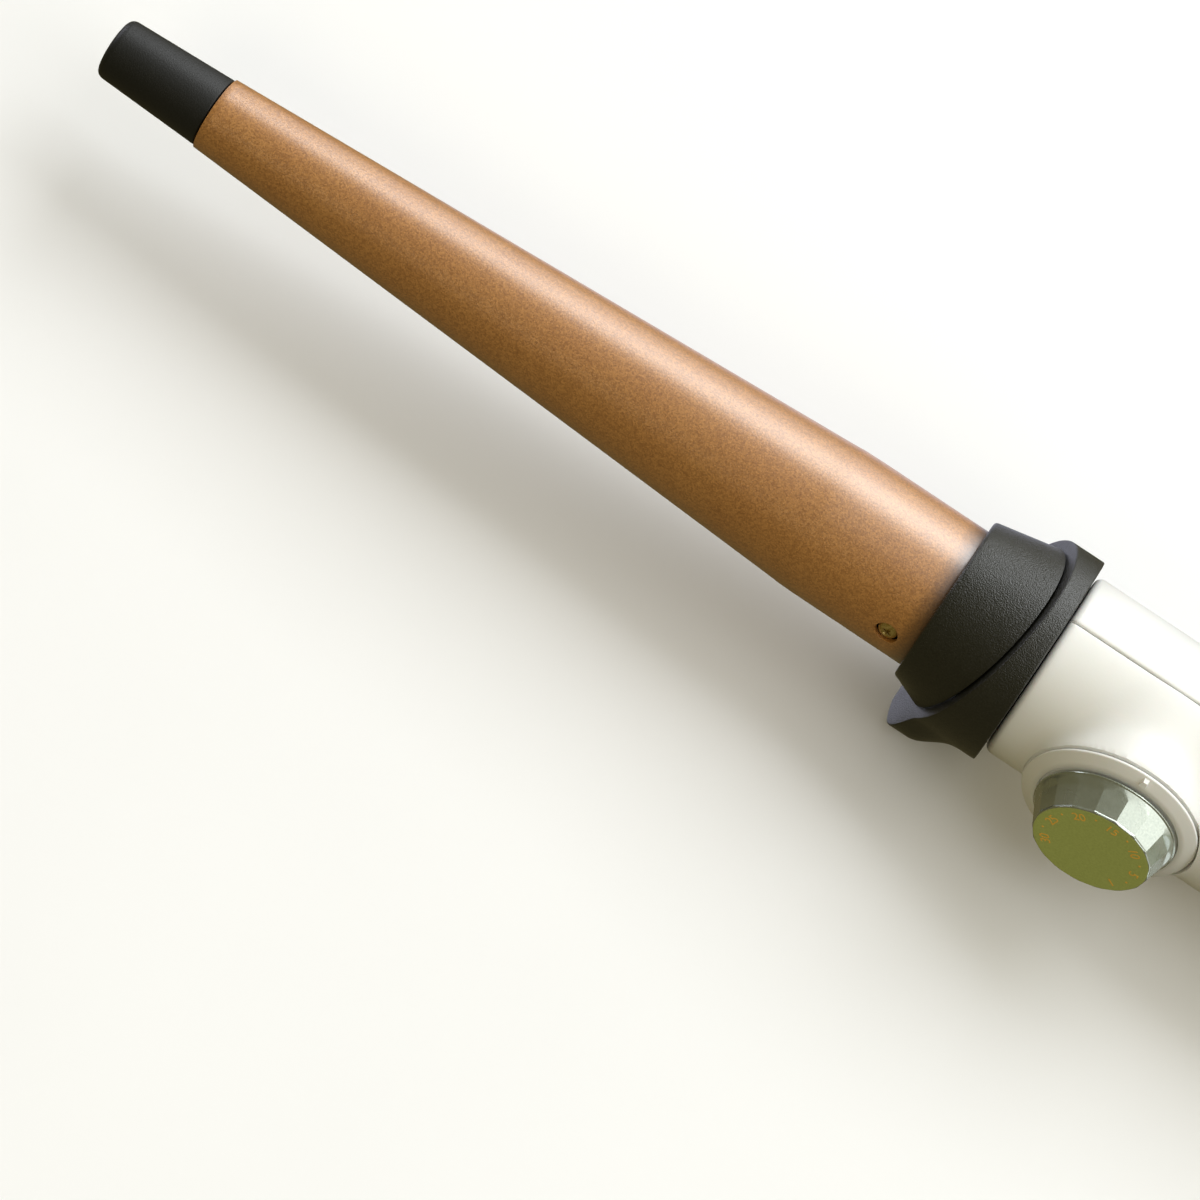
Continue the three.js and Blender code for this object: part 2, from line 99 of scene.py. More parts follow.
# %% [markdown]
# ## Studio
# A wide softbox stands behind and above the wand, with a strip below it, and draws the long
# pale highlight on the barrel's upper side. An overhead panel fills in, two side panels catch
# the guard's faces and the dial's flats, and the dim warm surroundings let the barrel's lower
# side fall to brown. A warm fill in front lights the near side but is kept out of reflections,
# because it would draw a second band along the barrel. Only the camera sees the pale backdrop.

# %% Softboxes, surroundings and floor
def softbox(name, place, size, power, colour):
    light = bpy.data.lights.new(name, "AREA")
    light.shape = "RECTANGLE"
    light.size, light.size_y = size
    light.energy = power
    light.color = colour
    lamp = shown(name, light)
    lamp.location = place
    lamp.rotation_euler = (-Vector(place)).to_track_quat("-Z", "Y").to_euler()
    return lamp


softbox("key_softbox", (0.25, 1.15, 1.25), (1.6, 1.15), 27, (0.94, 0.975, 1.0))
softbox("back_strip", (0.1, 1.75, 0.35), (1.8, 0.7), 5, (0.96, 0.98, 1.0))
softbox("overhead_panel", (0.71, 0.0, 1.9), (2.0, 1.4), 10.5, (0.99, 1.0, 1.0))
front_fill = softbox("front_fill", (-0.45, -1.3, 1.1), (0.9, 0.7), 6.2, (1.0, 0.92, 0.7))
front_fill.visible_glossy = False
softbox("tip_side_panel", (-1.3, 0.75, 0.3), (0.9, 0.6), 7, (0.84, 0.86, 1.0))
softbox("handle_side_panel", (1.35, -0.05, 0.75), (1.4, 1.5), 11, (0.99, 1.0, 1.0))

world = bpy.data.worlds.new("studio")
world.use_nodes = True
scene.world = world
world_tree = world.node_tree
surroundings = world_tree.nodes["Background"]
surroundings.inputs["Color"].default_value = (0.31, 0.26, 0.12, 1)
surroundings.inputs["Strength"].default_value = 0.42
pale = world_tree.nodes.new("ShaderNodeBackground")
pale.inputs["Color"].default_value = (0.92, 0.92, 0.92, 1)
seen = world_tree.nodes.new("ShaderNodeLightPath")
blend = world_tree.nodes.new("ShaderNodeMixShader")
world_tree.links.new(seen.outputs["Is Camera Ray"], blend.inputs[0])
world_tree.links.new(surroundings.outputs[0], blend.inputs[1])
world_tree.links.new(pale.outputs[0], blend.inputs[2])
world_tree.links.new(blend.outputs[0], world_tree.nodes["World Output"].inputs["Surface"])
scene.view_settings.view_transform = "Standard"

# %% [markdown]
# ## Small helpers
# A maker's profile is a list of corners, some of them rounded. `soften` turns the corners
# into a smooth outline, `turned` spins an outline round the axis as a lathe does, and
# `finished` puts the shape in its place and closes its seams.

# %% Outlines and lathe work
def soften(corners, steps=5):
    """Corners are (radius, height) or (radius, height, rounding)."""
    outline = []
    for i, corner in enumerate(corners):
        here = np.array(corner[:2], float)
        rounding = corner[2] if len(corner) > 2 else 0
        if not rounding:
            outline.append(tuple(here))
            continue
        before = np.array(corners[i - 1][:2], float) - here
        after = np.array(corners[(i + 1) % len(corners)][:2], float) - here
        reach = min(rounding, 0.49 * np.linalg.norm(before), 0.49 * np.linalg.norm(after))
        start = here + before / np.linalg.norm(before) * reach
        end = here + after / np.linalg.norm(after) * reach
        for s in np.linspace(0, 1, steps + 1):
            outline.append(tuple((1 - s) ** 2 * start + 2 * s * (1 - s) * here + s * s * end))
    return outline


def quads(rows, count):
    """The faces between rows of points, each row a closed ring of count points."""
    return [(j * count + i, j * count + (i + 1) % count,
             (j + 1) * count + (i + 1) % count, (j + 1) * count + i)
            for j in range(rows - 1) for i in range(count)]


def turned(outline, segments):
    """Spins (radius, height) points round Z into points and faces."""
    turns = np.linspace(0, 2 * math.pi, segments, endpoint=False)
    points = [(r * math.cos(t), r * math.sin(t), h) for r, h in outline for t in turns]
    return points, quads(len(outline), segments)


def finished(name, points, faces, place=WAND, sharp=32):
    """Makes a closed piece in its place: doubles merged, faces outwards, edges crisp."""
    mesh = bpy.data.meshes.new(name)
    mesh.from_pydata([tuple(p) for p in points], [], faces)
    shape = bmesh.new()
    shape.from_mesh(mesh)
    bmesh.ops.remove_doubles(shape, verts=shape.verts, dist=1e-4)
    bmesh.ops.dissolve_degenerate(shape, edges=shape.edges, dist=1e-5)
    bmesh.ops.recalc_face_normals(shape, faces=shape.faces)
    shape.transform(place)
    shape.to_mesh(mesh)
    shape.free()
    piece = shown(name, mesh)
    crisp(piece, sharp)
    return piece


def crisp(piece, angle):
    piece.data.polygons.foreach_set("use_smooth", [True] * len(piece.data.polygons))
    piece.data.set_sharp_from_angle(angle=math.radians(angle))
    piece.data.update()


def settle(piece, sharp=32):
    """Applies the piece's modifiers, so that only a plain mesh is left."""
    whole = piece.evaluated_get(bpy.context.evaluated_depsgraph_get())
    mesh = bpy.data.meshes.new_from_object(whole)
    piece.modifiers.clear()
    old, piece.data = piece.data, mesh
    bpy.data.meshes.remove(old)
    mesh.name = piece.name
    crisp(piece, sharp)
    return piece


def carve(piece, tool, operation="DIFFERENCE", sharp=32):
    cutter = piece.modifiers.new("cut", "BOOLEAN")
    cutter.operation = operation
    cutter.solver = "EXACT"
    cutter.object = tool
    settle(piece, sharp)
    bpy.data.objects.remove(tool)
    return piece


def bevelled(piece, width_mm, segments, angle, sharp=32):
    """Rounds the edges that turn by more than this angle."""
    rim = piece.modifiers.new("soft_edges", "BEVEL")
    rim.width = width_mm / 1000
    rim.segments = segments
    rim.limit_method = "ANGLE"
    rim.angle_limit = math.radians(angle)
    return settle(piece, sharp)


def rod(radius, low, high, place, segments=40):
    outline = [(0, low), (radius, low), (radius, high), (0, high)]
    return finished("rod", *turned(outline, segments), place)


print("points of a softened square:", len(soften([(0, 0), (1, 0, 0.2), (1, 1, 0.2), (0, 1)])))

# %% [markdown]
# ## Colours and nodes
# Colours are written as sRGB hex, as a paint chart gives them, and one function turns them
# into the linear values that the shader wants. `add` puts one node into a material. Object
# coordinates are metres here, so a grain of g millimetres has a noise scale of 1000 / g.

# %% Colour and node helpers
def linear(code):
    parts = [int(code[i:i + 2], 16) / 255 for i in (0, 2, 4)]
    return tuple(p / 12.92 if p <= 0.04045 else ((p + 0.055) / 1.055) ** 2.4 for p in parts) + (1,)


def add(tree, kind, inputs=None, **settings):
    """Puts in a node. An input takes a value, or a link from another node's output."""
    node = tree.nodes.new(kind)
    for key, value in settings.items():
        setattr(node, key, value)
    for key, value in (inputs or {}).items():
        socket = node.inputs[key]
        if isinstance(value, bpy.types.NodeSocket):
            tree.links.new(value, socket)
        else:
            socket.default_value = value
    return node


def grain(size_mm):
    return 1000 / size_mm


def noise(tree, place, size_mm, detail, **more):
    inputs = {"Vector": place, "Scale": grain(size_mm), "Detail": detail}
    return add(tree, "ShaderNodeTexNoise", inputs | more).outputs[0]


def surface(name, **values):
    """A new material with these shader values, its tree, its shader and its place in metres."""
    material = bpy.data.materials.new(name)
    material.use_nodes = True
    tree = material.node_tree
    shader = tree.nodes["Principled BSDF"]
    for key, value in values.items():
        shader.inputs[key.replace("_", " ")].default_value = value
    place = add(tree, "ShaderNodeTexCoord").outputs["Object"]
    return material, tree, shader, place


def blend_colours(tree, factor, low, high, blend_type="MIX"):
    """Mixes two colours. Each one is a hex code or another node's output."""
    low, high = (linear(c) if isinstance(c, str) else c for c in (low, high))
    mix = add(tree, "ShaderNodeMix", {0: factor, 6: low, 7: high}, data_type="RGBA",
              blend_type=blend_type)
    return mix.outputs[2]


def spread(tree, value, low, high, from_low=0.3, from_high=0.7):
    """Stretches the middle of a noise over a range."""
    inputs = {"Value": value, "From Min": from_low, "From Max": from_high,
              "To Min": low, "To Max": high}
    return add(tree, "ShaderNodeMapRange", inputs).outputs[0]


def mottled(tree, value, dark, light):
    return blend_colours(tree, spread(tree, value, 0, 1), dark, light)


def coat(tree, shader, colour, roughness, height, strength, depth_mm):
    """Links a colour, a roughness and a bump of this depth to the shader."""
    inputs = {"Height": height, "Strength": strength, "Distance": depth_mm / 1000}
    bump = add(tree, "ShaderNodeBump", inputs).outputs[0]
    for name, output in (("Base Color", colour), ("Roughness", roughness), ("Normal", bump)):
        tree.links.new(output, shader.inputs[name])


print("grain of 0.25 mm has noise scale", grain(0.25))

# %% [markdown]
# ## Finish of the barrel: sprayed and fired metallic ceramic coat on aluminium
# The coat is a satin copper with fine metal flakes. It is a little metal and mostly paint under
# a strong clear gloss: the broad highlight is pale and the shaded side keeps a warm brown. The
# flakes are about 0.25 mm across with a coarser mottle of 9 mm, and a fine bump gives a lively
# grain. The last 3 mm beside the collar are darkened with painted shade, which stands in for the
# collar's shadow and its dark reflection in the barrel.

# %% Copper coat
copper, tree, shader, place = surface("copper_ceramic_coat_sprayed", Metallic=0.1, IOR=1.6,
                                      Coat_Weight=1.0, Coat_Roughness=0.39, Coat_IOR=2.1)
flakes = add(tree, "ShaderNodeTexVoronoi", {"Vector": place, "Scale": grain(0.24)}).outputs["Color"]
flake_shade = add(tree, "ShaderNodeSeparateColor", {"Color": flakes}).outputs[0]
fine = noise(tree, place, 0.34, 2.0, Roughness=0.6)
flecked = blend_colours(tree, flake_shade, "9d6424", "cb8e48")
patches = spread(tree, noise(tree, place, 9, 3.0), 0, 0.16)
tinted = blend_colours(tree, patches, flecked, "d8b590", "MULTIPLY")
x_place = add(tree, "ShaderNodeSeparateXYZ", {"Vector": place}).outputs[0]
# Painted shade: the colour darkens over the last 3 mm beside the collar, standing in for the
# collar's shadow and its dark reflection in the barrel.
collar_shade_mask = spread(tree, x_place, 0, 0.9, BASE_X - 0.0022, BASE_X + 0.0011)
collar_shade_painted = blend_colours(tree, collar_shade_mask, tinted, "5a3c28", "MULTIPLY")
coat(tree, shader, collar_shade_painted, spread(tree, fine, 0.34, 0.5), fine, 0.8, 0.07)
print(copper.name, len(tree.nodes), "nodes")

# %% [markdown]
# ## Finish of the tip, collar and guard: moulded black PBT with an etched mould texture
# A heat-resistant plastic leaves a spark-eroded mould with a fine pebble of about 0.25 mm. It
# is charcoal where light grazes it and nearly black elsewhere. Hands and hair polish it here
# and there, so its roughness varies a little with a coarse noise.

# %% Black moulded plastics
def pebbled_plastic(name, dark, light, size_mm, depth_mm, roughness, gloss=0.5):
    material, tree, shader, place = surface(name, IOR=1.52, Specular_IOR_Level=gloss)
    pebble = noise(tree, place, size_mm, 2.0)
    worn = spread(tree, noise(tree, place, 14, 4.0), roughness - 0.04, roughness + 0.05)
    coat(tree, shader, mottled(tree, pebble, dark, light), worn, pebble, 0.9, depth_mm)
    return material


tip_black = pebbled_plastic("black_pbt_moulded_fine", "131413", "1b1c1b", 0.26, 0.04, 0.5)
guard_black = pebbled_plastic("charcoal_pbt_moulded_pebbled", "151610", "27271f", 0.24, 0.15,
                              0.33, gloss=0.68)
rubber = pebbled_plastic("soft_black_tpe_moulded", "232323", "2f2f2e", 0.6, 0.06, 0.72)
print("pebbled plastics:", tip_black.name, guard_black.name, rubber.name)

# %% [markdown]
# ## Finish of the handle: satin white ABS, injection moulded
# The handle's two shells and its cap come from a lightly stoned mould: a soft satin with no
# visible grain from afar, very faint waviness, and patches of slightly warmer white.

# %% White ABS
white, tree, shader, place = surface("white_abs_satin_moulded", IOR=1.53, Subsurface_Weight=0.04,
                                     Subsurface_Scale=0.002)
stoned = noise(tree, place, 0.5, 2.0)
colour = mottled(tree, noise(tree, place, 22, 4.0), "e9e9e5", "f1f1ee")
coat(tree, shader, colour, spread(tree, stoned, 0.34, 0.42), stoned, 0.25, 0.03)
print(white.name)

# %% [markdown]
# ## Finish of the dial: olive lacquer on moulded plastic
# The knob's flats have a pale metallic lacquer under a clear coat, which mirrors the studio.
# The flat face is etched matt instead, so it stays an even, slightly speckled olive. Its
# numbers are pad printed in a dull gold ink.

# %% Olive lacquer and gold ink
olive, tree, shader, place = surface("olive_lacquer_on_abs", IOR=1.5, Metallic=0.8, Coat_Weight=1.0,
                                     Coat_Roughness=0.14, Coat_IOR=1.8)
speck = noise(tree, place, 0.35, 3.0)
cloud = noise(tree, place, 6, 2.0)
colour = mottled(tree, speck, "b0bab0", "c0c9bd")
coat(tree, shader, colour, spread(tree, cloud, 0.22, 0.3), speck, 0.3, 0.03)

olive_face, tree, shader, place = surface("olive_lacquer_matt_face", IOR=1.5)
speck = noise(tree, place, 0.35, 3.0)
colour = mottled(tree, speck, "a9b464", "b7c271")
coat(tree, shader, colour, spread(tree, speck, 0.5, 0.62), speck, 0.4, 0.04)

ink, tree, shader, place = surface("gold_ink_pad_printed", IOR=1.5)
thin = noise(tree, place, 0.25, 2.0)
tree.links.new(mottled(tree, thin, "f0b848", "fac456"), shader.inputs["Base Color"])
tree.links.new(spread(tree, thin, 0.4, 0.6), shader.inputs["Roughness"])
print(olive.name, olive_face.name, ink.name)

# %% [markdown]
# ## Finishes of screws, switch parts and wiring
# Metals get streaks or grains from how they were made, plastics a faint pebble, and the
# circuit board stretched mottles like a glass cloth under green mask. Each one has its own
# colours, grain size and roughness, drawn the same way.

# %% Bench finishes
def bench(name, dark, light, size_mm, rough_low, rough_high, metallic=0.0, stretch=(1, 1, 1),
          **values):
    material, tree, shader, place = surface(name, Metallic=metallic, **values)
    along = add(tree, "ShaderNodeMapping", {"Vector": place, "Scale": stretch}).outputs[0]
    streaks = noise(tree, along, size_mm, 4.0)
    roughness = spread(tree, streaks, rough_low, rough_high)
    coat(tree, shader, mottled(tree, streaks, dark, light), roughness, streaks, 0.4, 0.02)
    return material


BENCH = {
    "screw_brass": bench("yellow_zinc_plated_steel", "b59a4c", "e2cb86", 0.5, 0.3, 0.5, 0.85),
    "screw_steel": bench("bright_zinc_plated_steel", "9b9ea1", "c6c9cc", 0.6, 0.22, 0.4, 1.0),
    "aluminium": bench("aluminium_extruded", "a9adb0", "d0d3d5", 0.5, 0.28, 0.46, 1.0,
                       (0.05, 1, 1)),
    "ceramic": bench("alumina_ceramic_sintered", "dcd4c2", "ebe5d6", 0.8, 0.5, 0.7),
    "film": bench("polyimide_film_wound", "8c4f12", "b3701e", 2.0, 0.18, 0.34,
                  stretch=(0.3, 1, 1), Coat_Weight=0.4),
    "contact_brass": bench("brass_strip_rolled", "a2823a", "cbab5c", 0.5, 0.22, 0.4, 1.0,
                           (0.1, 1, 1)),
    "black_part": bench("black_nylon_moulded", "1d1e1f", "2b2c2d", 0.6, 0.45, 0.62),
    "red_wire": bench("red_silicone_insulation", "8c2720", "a93a30", 1.2, 0.42, 0.58),
    "white_wire": bench("white_silicone_insulation", "d2cfc6", "e6e3dc", 1.2, 0.42, 0.58),
    "board": bench("green_solder_mask_on_glass_cloth", "15492a", "22683c", 0.9, 0.25, 0.42,
                   stretch=(1, 0.4, 1), Coat_Weight=0.3),
    "lamp": bench("red_tinted_polycarbonate", "a52b1e", "d2452f", 1.5, 0.08, 0.2,
                  Transmission_Weight=0.35, IOR=1.58),
    "soft_black": rubber,
    "tip_plastic": tip_black,
    "guard_plastic": guard_black,
    "white_plastic": white,
    "olive_plastic": olive,
    "copper_coat": copper,
}
print("finishes:", len(BENCH))

# %% [markdown]
# ## Solids that keep their own shape
# The heater, leads, board and switch parts sit inside and are already the right shape, so
# each only takes the finish of the slot that the record gives it. A few parts on the board
# share a slot but are different stuff in life, so they get their own colours.

# %% Give every solid its finish
nickel = bench("nickel_plated_can", "8e8f8c", "bcbdb9", 0.7, 0.2, 0.36, 1.0)
phenolic = bench("brown_epoxy_case", "3a2a20", "4d392b", 0.7, 0.35, 0.5)
OWN_FINISH = {"potentiometer": nickel, "thermal_fuse": nickel, "capacitor": phenolic}
for part in frame["record"]["subparts"]:
    node, slot_name = part["node"], part["material_slot"]
    for slot in frame["nodes"][node].material_slots:
        slot.material = OWN_FINISH.get(node, BENCH[slot_name])

# %% [markdown]
# ## The tapered barrel
# The barrel is one aluminium tube that tapers straight from 25 mm at its base to under 13 mm
# at the tip. That is a rule, so Geometry Nodes draw it: a flat grid is wrapped round the
# axis, and its radius follows the distance along the axis through a short table of
# lengths. A wall is added inside, and the two screw holes are cut near the base.

# %% The barrel by rule
def rule_tree(name, numbers, *kinds):
    """A modifier tree with named inputs: numbers with their defaults, then things by kind."""
    tree = bpy.data.node_groups.new(name, "GeometryNodeTree")
    tree.is_modifier = True
    for in_out in ("INPUT", "OUTPUT"):
        tree.interface.new_socket(name="Geometry", in_out=in_out, socket_type="NodeSocketGeometry")
    for label, value in numbers.items():
        kind = "NodeSocketInt" if isinstance(value, int) else "NodeSocketFloat"
        socket = tree.interface.new_socket(name=label, in_out="INPUT", socket_type=kind)
        socket.default_value = value
    for kind in kinds:
        tree.interface.new_socket(name=kind, in_out="INPUT", socket_type="NodeSocket" + kind)
    return tree, tree.nodes.new("NodeGroupInput").outputs


def end_rule(tree, given, geometry):
    """Makes copies real, gives them their one material and sends them out."""
    real = add(tree, "GeometryNodeRealizeInstances", {"Geometry": geometry}).outputs[0]
    inputs = {"Geometry": real, "Material": given["Material"]}
    painted = add(tree, "GeometryNodeSetMaterial", inputs).outputs[0]
    add(tree, "NodeGroupOutput", {"Geometry": painted})


def run_rule(tree, name, settings, points=()):
    """A piece with this rule on it. Its mesh is empty, or the points that the rule works on."""
    mesh = bpy.data.meshes.new(name)
    mesh.from_pydata([tuple(p) for p in points], [], [])
    piece = shown(name, mesh)
    modifier = piece.modifiers.new("rule", "NODES")
    modifier.node_group = tree
    for item in tree.interface.items_tree:
        if item.in_out == "INPUT" and item.name in settings:
            modifier[item.identifier] = settings[item.name]
    return piece


def calc(tree, operation, first, second=0.0, third=None):
    values = {0: first, 1: second}
    if third is not None:
        values[2] = third
    return add(tree, "ShaderNodeMath", values, operation=operation).outputs[0]


def round_x(tree, x, radius, turn):
    """The point at distance x along the axis and this radius and turn round it."""
    across = calc(tree, "MULTIPLY", radius, calc(tree, "SINE", turn))
    up = calc(tree, "MULTIPLY", radius, calc(tree, "COSINE", turn))
    return add(tree, "ShaderNodeCombineXYZ", {0: x, 1: across, 2: up}).outputs[0]


TUBE = {"Tip X": -139.5, "Taper End X": -22.5, "Base X": 3.8, "Tip Radius": 6.43,
        "Taper Radius": 12.6, "Base Radius": 12.72, "Rings": 121, "Around": 180}
tree, given = rule_tree("tapered_tube", TUBE, "Material")
grid = add(tree, "GeometryNodeMeshGrid", {
    "Size X": 1.0, "Size Y": 1.0, "Vertices X": given["Rings"],
    "Vertices Y": calc(tree, "ADD", given["Around"], 1)})
where = add(tree, "ShaderNodeSeparateXYZ", {0: add(tree, "GeometryNodeInputPosition").outputs[0]})
length = calc(tree, "SUBTRACT", given["Base X"], given["Tip X"])
x = calc(tree, "MULTIPLY_ADD", calc(tree, "ADD", where.outputs[0], 0.5), length, given["Tip X"])
cone = spread(tree, x, given["Tip Radius"], given["Taper Radius"], given["Tip X"],
              given["Taper End X"])
ease = add(tree, "ShaderNodeMapRange", {
    "Value": x, "From Min": calc(tree, "SUBTRACT", given["Taper End X"], 3),
    "From Max": calc(tree, "ADD", given["Taper End X"], 4), "To Min": 0.0,
    "To Max": calc(tree, "SUBTRACT", given["Base Radius"], given["Taper Radius"])},
    interpolation_type="SMOOTHSTEP").outputs[0]
spot = round_x(tree, x, calc(tree, "ADD", cone, ease),
               calc(tree, "MULTIPLY", where.outputs[1], 2 * math.pi))
bent = add(tree, "GeometryNodeSetPosition", {"Geometry": grid.outputs["Mesh"], "Position": spot})
joined = add(tree, "GeometryNodeMergeByDistance", {"Geometry": bent.outputs[0], "Distance": 0.001})
end_rule(tree, given, joined.outputs[0])
barrel = settle(run_rule(tree, "barrel_shell", TUBE | {"Material": copper}))
print("barrel surface:", len(barrel.data.polygons), "faces")

# %% Give the barrel its wall, its soft front edge and the screw holes
SCREW_TURN = math.radians(80)
SCREW_X = -3.5


def dressed(piece, material, body, slot_name, *nodes):
    """Paints a finished piece, lets it ride on its body and stand for its CAD solids."""
    piece.data.materials.clear()
    piece.data.materials.append(material)
    piece.data.polygons.foreach_set("material_index", [0] * len(piece.data.polygons))
    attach(piece, body)
    if nodes:
        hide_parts(*nodes)
    print(piece.name, "faces:", len(piece.data.polygons))
    return piece


def outwards(piece):
    """Turns the faces away from the axis, then moves the piece to its place."""
    shape = bmesh.new()
    shape.from_mesh(piece.data)
    bmesh.ops.remove_doubles(shape, verts=shape.verts, dist=1e-4)
    bmesh.ops.recalc_face_normals(shape, faces=shape.faces)
    face = max(shape.faces, key=lambda f: f.calc_center_median().yz.length)
    out = Vector((0, face.calc_center_median().y, face.calc_center_median().z))
    if face.normal.dot(out) < 0:
        bmesh.ops.reverse_faces(shape, faces=shape.faces)
    shape.transform(WAND)
    shape.to_mesh(piece.data)
    shape.free()
    crisp(piece, 32)


outwards(barrel)
wall = barrel.modifiers.new("wall", "SOLIDIFY")
wall.thickness = 0.0009
wall.offset = -1
settle(barrel)
HOLE_RADIUS = 2.05
for side in (0, math.pi):
    turn = Matrix.Rotation(SCREW_TURN + side, 4, "X")
    screw_line = WAND @ turn @ Matrix.Translation((SCREW_X, 0, 0))
    carve(barrel, rod(HOLE_RADIUS, 9.5, 15, screw_line, 48), sharp=35)
bevelled(barrel, 0.12, 2, 55, sharp=35)
dressed(barrel, copper, "wand", "copper_coat", "barrel")

# %% [markdown]
# ## The cool tip
# The tip is a slightly tapered black plug with a flat end and a rounded rim. It is turned on
# a lathe of points. Its skirt is a hair slimmer than the barrel, which shows as a fine step.

# %% Cool tip
corners = [(0, -159.3), (5.35, -159.3, 1.5), (6.12, -139.9, 0.25), (5.9, -139.75), (5.1, -139.75),
           (5.1, -133), (3.2, -133), (3.2, -150), (0, -150)]
tip = finished("cool_tip_plug", *turned(soften(corners, 8), 128), ALONG)
dressed(tip, tip_black, "wand", "tip_plastic", "cool_tip")

# %% [markdown]
# ## The collar
# The collar is a black ring round the barrel's base. Its front is a flat circle, while its
# rear is cut on the slanted plane where it meets the guard, so it is longer at the top. Rows
# of points run from the front circle to that plane. The front rim has a narrow bevel, which
# catches a thin bright line.

# %% Collar
turns = np.linspace(0, 2 * math.pi, 200, endpoint=False)


def band(rows):
    """Joins rows of points, each one a closed ring of equal length, into faces."""
    return np.concatenate(rows), quads(len(rows), len(rows[0]))


def ring(radius, x):
    """A closed ring round the axis; radius and x are one number or one for each turn."""
    x, radius = (np.broadcast_to(value, turns.shape) for value in (x, radius))
    return np.stack([x, radius * np.sin(turns), -radius * np.cos(turns)], 1)


def slant_x(radius, back=0.0):
    """Where the slanted plane between collar and guard lies at each turn of this radius."""
    return 10 + 0.32 * (-radius * np.cos(turns)) - back


BORE, REAR, GAP = 13.05, 16.8, 0.3
front = soften([(BORE, 1.1), (14.6, 1.1, 0.75), (REAR, 12)], 8)[1:-1]
rows = [ring(BORE, slant_x(BORE, GAP)), ring(BORE, 1.25), ring(13.2, 1.1)]
rows += [ring(r, x) for r, x in front]
last_r, last_x = front[-1]
for t in (0.12, 0.3, 0.5, 0.7, 0.88, 0.97):
    rows.append(ring(last_r + (REAR - last_r) * t, last_x + (slant_x(REAR, GAP) - last_x) * t))
rows += [ring(REAR - 0.05, slant_x(REAR - 0.05, 0.42)), ring(REAR - 0.2, slant_x(REAR - 0.2, GAP)),
         rows[0]]
collar = finished("collar_ring", *band(rows))
dressed(collar, guard_black, "wand", "guard_plastic", "collar")

# %% [markdown]
# ## The guard and its foot
# The guard keeps fingers off the barrel and holds the wand up on a table. Seen along the
# barrel it is a circle whose lower edge swells into a flat foot; towards the handle the foot
# fades away. The edge distance is a formula of the angle and of the distance along the axis.
# A bevel then softens the rims, as a moulded part has them.

# %% Guard
def eased(low, high, value):
    t = np.clip((value - low) / (high - low), 0, 1)
    return t * t * (3 - 2 * t)


GUARD_RADIUS, LOBE_RADIUS, FOOT_DEPTH, GUARD_REAR_X = 18.8, 23.2, 21.5, 19.3


def guard_radius(turn, lobe):
    """Distance from axis to edge; lobe 1 is the whole foot and 0 is none of it."""
    away = np.abs((turn + math.pi) % (2 * math.pi) - math.pi)
    full = np.minimum(FOOT_DEPTH / np.maximum(np.cos(away), 0.2), LOBE_RADIUS)
    return GUARD_RADIUS + (full - GUARD_RADIUS) * (1 - eased(38, 70, np.degrees(away))) * lobe


def guard_row(share):
    """share 0 is the slanted front plane, 1 the rear face."""
    radius = np.full(turns.shape, 20.0)
    for _ in range(12):
        front_x = slant_x(radius)
        x = front_x + (GUARD_REAR_X - front_x) * share
        radius = guard_radius(turns, 1 - eased(8.5, 17, x))
    return ring(radius, x)


turns = np.linspace(0, 2 * math.pi, 320, endpoint=False)
rows = [ring(11.5, GUARD_REAR_X)] + [ring(radius, slant_x(radius)) for radius in (11.5, 14, 17)]
rows += [guard_row(share) for share in np.linspace(0, 1, 15)]
rows += [ring(17, GUARD_REAR_X), ring(14, GUARD_REAR_X), rows[0]]
guard = finished("guard_with_foot", *band(rows), sharp=40)
bevelled(guard, 0.7, 4, 50, sharp=40)
dressed(guard, guard_black, "wand", "guard_plastic", "guard")

# %% [markdown]
# ## The handle's two shells
# The handle is two moulded half shells that meet in a fine groove along the top and bottom.
# It is round, deepens towards the rear into a heel, and swells on one side into the drum that
# carries the dial. Each cross-section is seen from the axis: along every direction a short
# search finds where the blended solid ends. Blending two distance formulas gives the soft
# fillet between handle and drum. A second, simpler surface about 2 mm inside closes the wall.

# %% Distance formulas of the handle
TO_DIAL = np.array(DIAL.inverted() @ WAND)
DRUM_TOP = 16.3
HANDLE_RADIUS = 16.5
HEEL_DEPTH = 21.0


def handle_rim(turn, x):
    """Distance from axis to surface; turn is measured from straight down."""
    depth = HANDLE_RADIUS * (1 + eased(92, 130, x) * (HEEL_DEPTH / HANDLE_RADIUS - 1))
    low = 1 / np.sqrt((np.sin(turn) / HANDLE_RADIUS) ** 2 + (np.cos(turn) / depth) ** 2)
    return np.where(np.cos(turn) > 0, low, HANDLE_RADIUS)


def drum_distance(points):
    local = points @ TO_DIAL[:3, :3].T + TO_DIAL[:3, 3]
    reach = np.hypot(local[..., 0], local[..., 1])
    side = reach - (15.42 - 0.027 * (local[..., 2] - 5))
    top = local[..., 2] - DRUM_TOP
    edge = 0.5
    outer = np.hypot(np.maximum(side + edge, 0), np.maximum(top + edge, 0)) - edge
    return np.minimum(np.maximum(side, top), 0) * (outer < 0) + outer * (outer >= 0)


def handle_distance(reach_out, turn, x, side, drum):
    points = np.stack([x, side * reach_out * np.sin(turn), -reach_out * np.cos(turn)], -1)
    body = reach_out - handle_rim(turn, x)
    if not drum:
        return body
    rise = drum_distance(points)
    soft = 2.2
    share = np.clip(0.5 + 0.5 * (rise - body) / soft, 0, 1)
    return rise * (1 - share) + body * share - soft * share * (1 - share)


FRONT_X, FRONT_ROUND, WALL = 19.6, 1.3, 1.9
SOCKET_END, SOCKET_RADIUS = 21.75, 12.1


